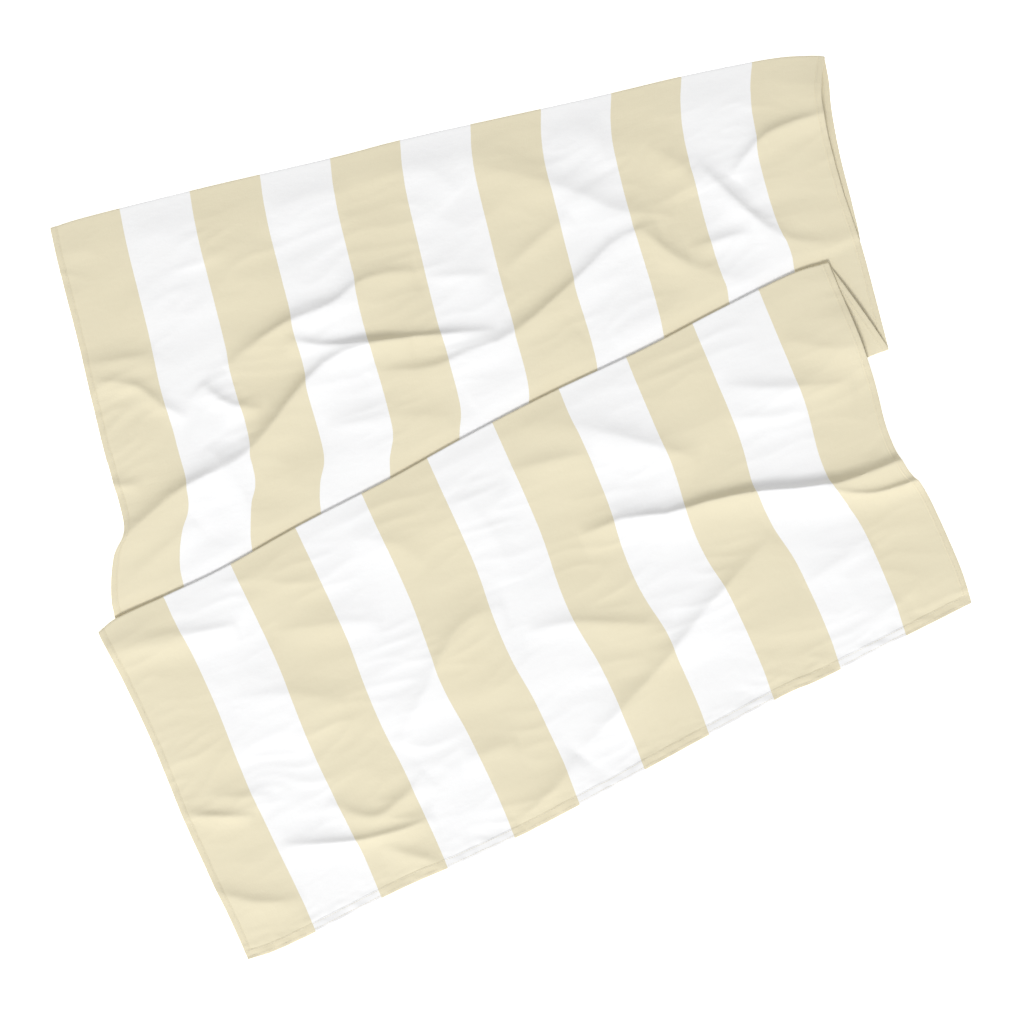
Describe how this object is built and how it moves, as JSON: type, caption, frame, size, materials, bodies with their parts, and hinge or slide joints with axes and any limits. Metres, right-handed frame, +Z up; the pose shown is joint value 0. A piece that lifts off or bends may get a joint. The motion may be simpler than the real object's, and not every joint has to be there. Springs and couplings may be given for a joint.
{
  "type": "beach towel",
  "caption": "Striped cotton beach towel, folded once across its width and laid flat, with a slanting tuck and sewn hems.",
  "frame": {"origin": "centre of the bounding box's underside, on the surface the towel lies on", "axes": "+Z up through the folded plies; +Y from the near end towards the top fold, +X to the right as seen from above with the near end at the front"},
  "size_m": [1.0244, 1.0087, 0.011],
  "materials": {
    "striped_cloth": "woven sand and white stripes along the length, soft and matte",
    "hem_cloth": "the same striped cloth, turned over twice and sewn flat",
    "sewing_thread": "matte sand polyester thread in a lockstitch"
  },
  "bodies": {
    "under_half": {"under_panel": "striped_cloth", "under_hem_left": "hem_cloth", "under_hem_right": "hem_cloth", "under_stitches_left": "sewing_thread", "under_stitches_right": "sewing_thread", "far_end_hem": "hem_cloth", "far_end_hem_stitches_inner": "sewing_thread", "far_end_hem_stitches_outer": "sewing_thread", "top_fold_turn": "striped_cloth"},
    "upper_half": {"upper_panel": "striped_cloth", "upper_hem_left": "hem_cloth", "upper_hem_right": "hem_cloth", "upper_stitches_left": "sewing_thread", "upper_stitches_right": "sewing_thread", "hidden_crease_turn": "striped_cloth", "pleat_panel": "striped_cloth", "pleat_hem_left": "hem_cloth", "pleat_hem_right": "hem_cloth", "pleat_stitches_left": "sewing_thread", "pleat_stitches_right": "sewing_thread", "visible_crease_turn": "striped_cloth"},
    "front_flap": {"front_panel": "striped_cloth", "front_hem_left": "hem_cloth", "front_hem_right": "hem_cloth", "front_stitches_left": "sewing_thread", "front_stitches_right": "sewing_thread", "near_end_hem": "hem_cloth", "near_end_hem_stitches_inner": "sewing_thread", "near_end_hem_stitches_outer": "sewing_thread"}
  },
  "joints": [
    {"name": "top_fold_opening", "type": "hinge", "parent": "under_half", "child": "upper_half", "pos_m": [-0.0835, 0.41, 0.00175], "axis": [-0.9754, -0.2203, 0], "range_deg": [0, 170], "deforming": ["top_fold_turn"]},
    {"name": "front_flap_lift", "type": "hinge", "parent": "upper_half", "child": "front_flap", "pos_m": [-0.0555, 0.0715, 0.0075], "axis": [-0.8915, -0.4529, 0], "range_deg": [0, 170], "deforming": ["visible_crease_turn"]}
  ]
}
